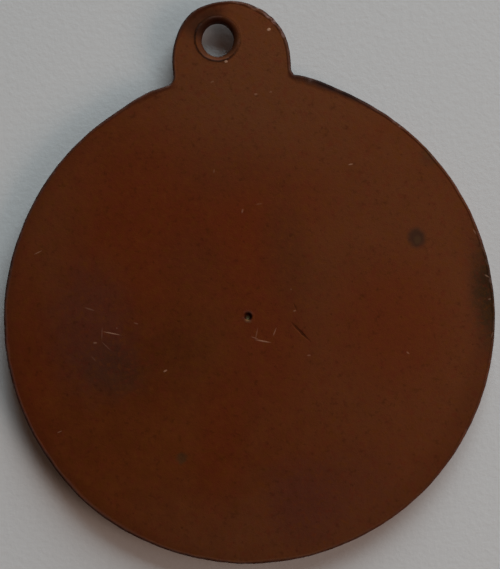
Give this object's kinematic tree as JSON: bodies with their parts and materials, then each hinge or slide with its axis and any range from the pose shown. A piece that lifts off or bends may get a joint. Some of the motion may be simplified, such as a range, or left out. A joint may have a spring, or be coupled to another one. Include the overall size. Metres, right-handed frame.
{
  "type": "medal",
  "caption": "Round one-piece struck medal with an integral round-topped lug drilled for a suspension ring, plain back up.",
  "frame": {"origin": "centre of the disc, on the surface that the raised rim of the obverse rests on", "axes": "+Z out of the plain back; +Y from the disc's centre up the medal to its lug; +X to the right as the plain back is seen with the lug up"},
  "size_m": [0.038, 0.0436, 0.002],
  "materials": {
    "patinated_copper": "struck copper alloy with an even brown patina, satin to dull, worn brighter along the edges"
  },
  "bodies": {
    "root": {"medal": "patinated_copper"}
  },
  "joints": []
}
